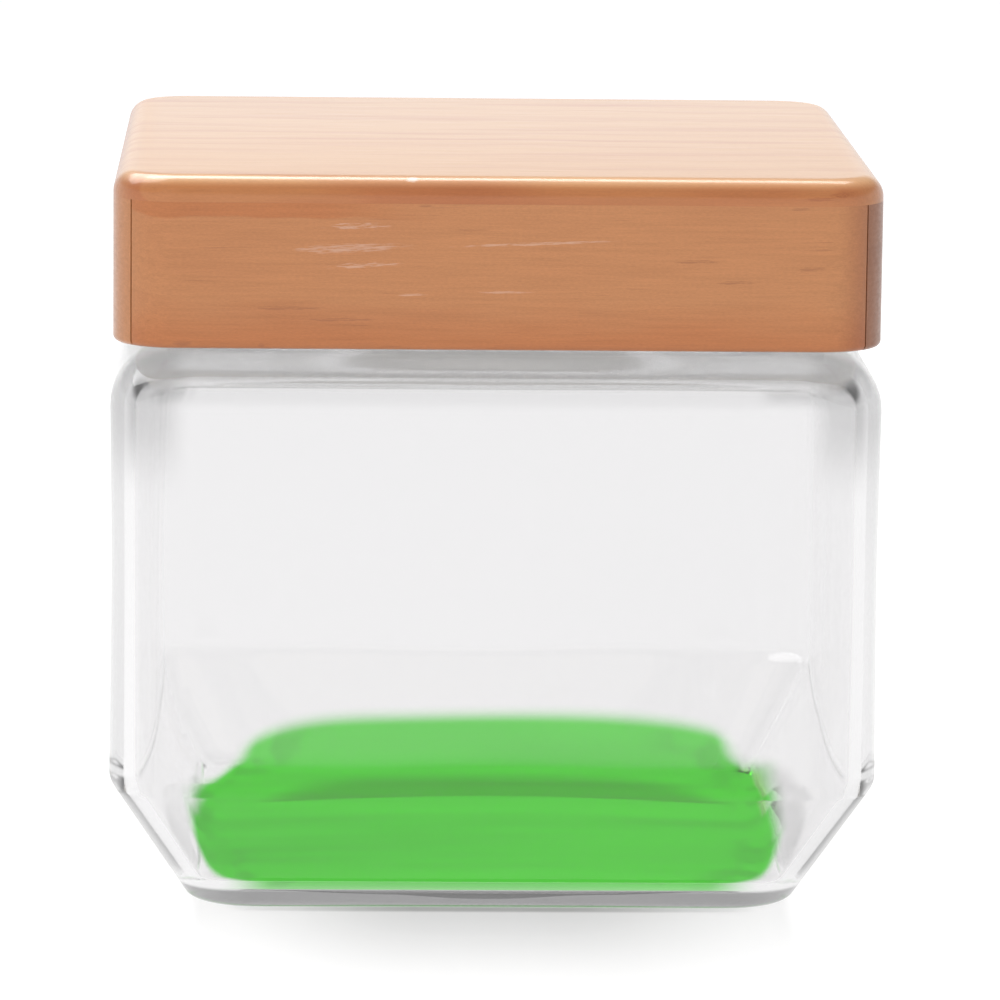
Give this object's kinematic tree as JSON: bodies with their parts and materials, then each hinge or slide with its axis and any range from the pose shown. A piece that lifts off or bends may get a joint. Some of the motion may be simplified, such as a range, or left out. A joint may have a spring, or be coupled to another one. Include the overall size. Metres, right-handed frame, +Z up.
{
  "type": "square glass candy jar",
  "caption": "Square clear glass jar with a drawn-in foot, a soft green tint on its floor, and a lift-off pine lid that plugs the round mouth with a ribbed seal.",
  "frame": {"origin": "centre of the jar's foot, on the surface it stands on", "axes": "+Z up through the mouth and lid, +X to the right of the front face, which looks along -Y"},
  "size_m": [0.12, 0.12, 0.1171],
  "materials": {
    "clear_glass": "clear pressed soda-lime glass, faintly wavy, with a soft-edged green tint on the inside of its floor",
    "pine_top_board": "pine with a satin lacquer, grain along the width",
    "pine_rail": "honey-coloured pine with a satin lacquer, grain along each rail",
    "pine_plug": "bare sanded pine",
    "seal_silicone": "milky translucent silicone, matt"
  },
  "bodies": {
    "jar": {"glass_jar": "clear_glass"},
    "lid": {"lid_board": "pine_top_board", "lid_rail_front": "pine_rail", "lid_rail_right": "pine_rail", "lid_rail_back": "pine_rail", "lid_rail_left": "pine_rail", "lid_plug": "pine_plug", "seal_ring": "seal_silicone"}
  },
  "joints": [
    {"name": "lid_lift", "type": "slide", "parent": "jar", "child": "lid", "axis": [0, 0, 1], "range_m": [0, 0.06]}
  ]
}
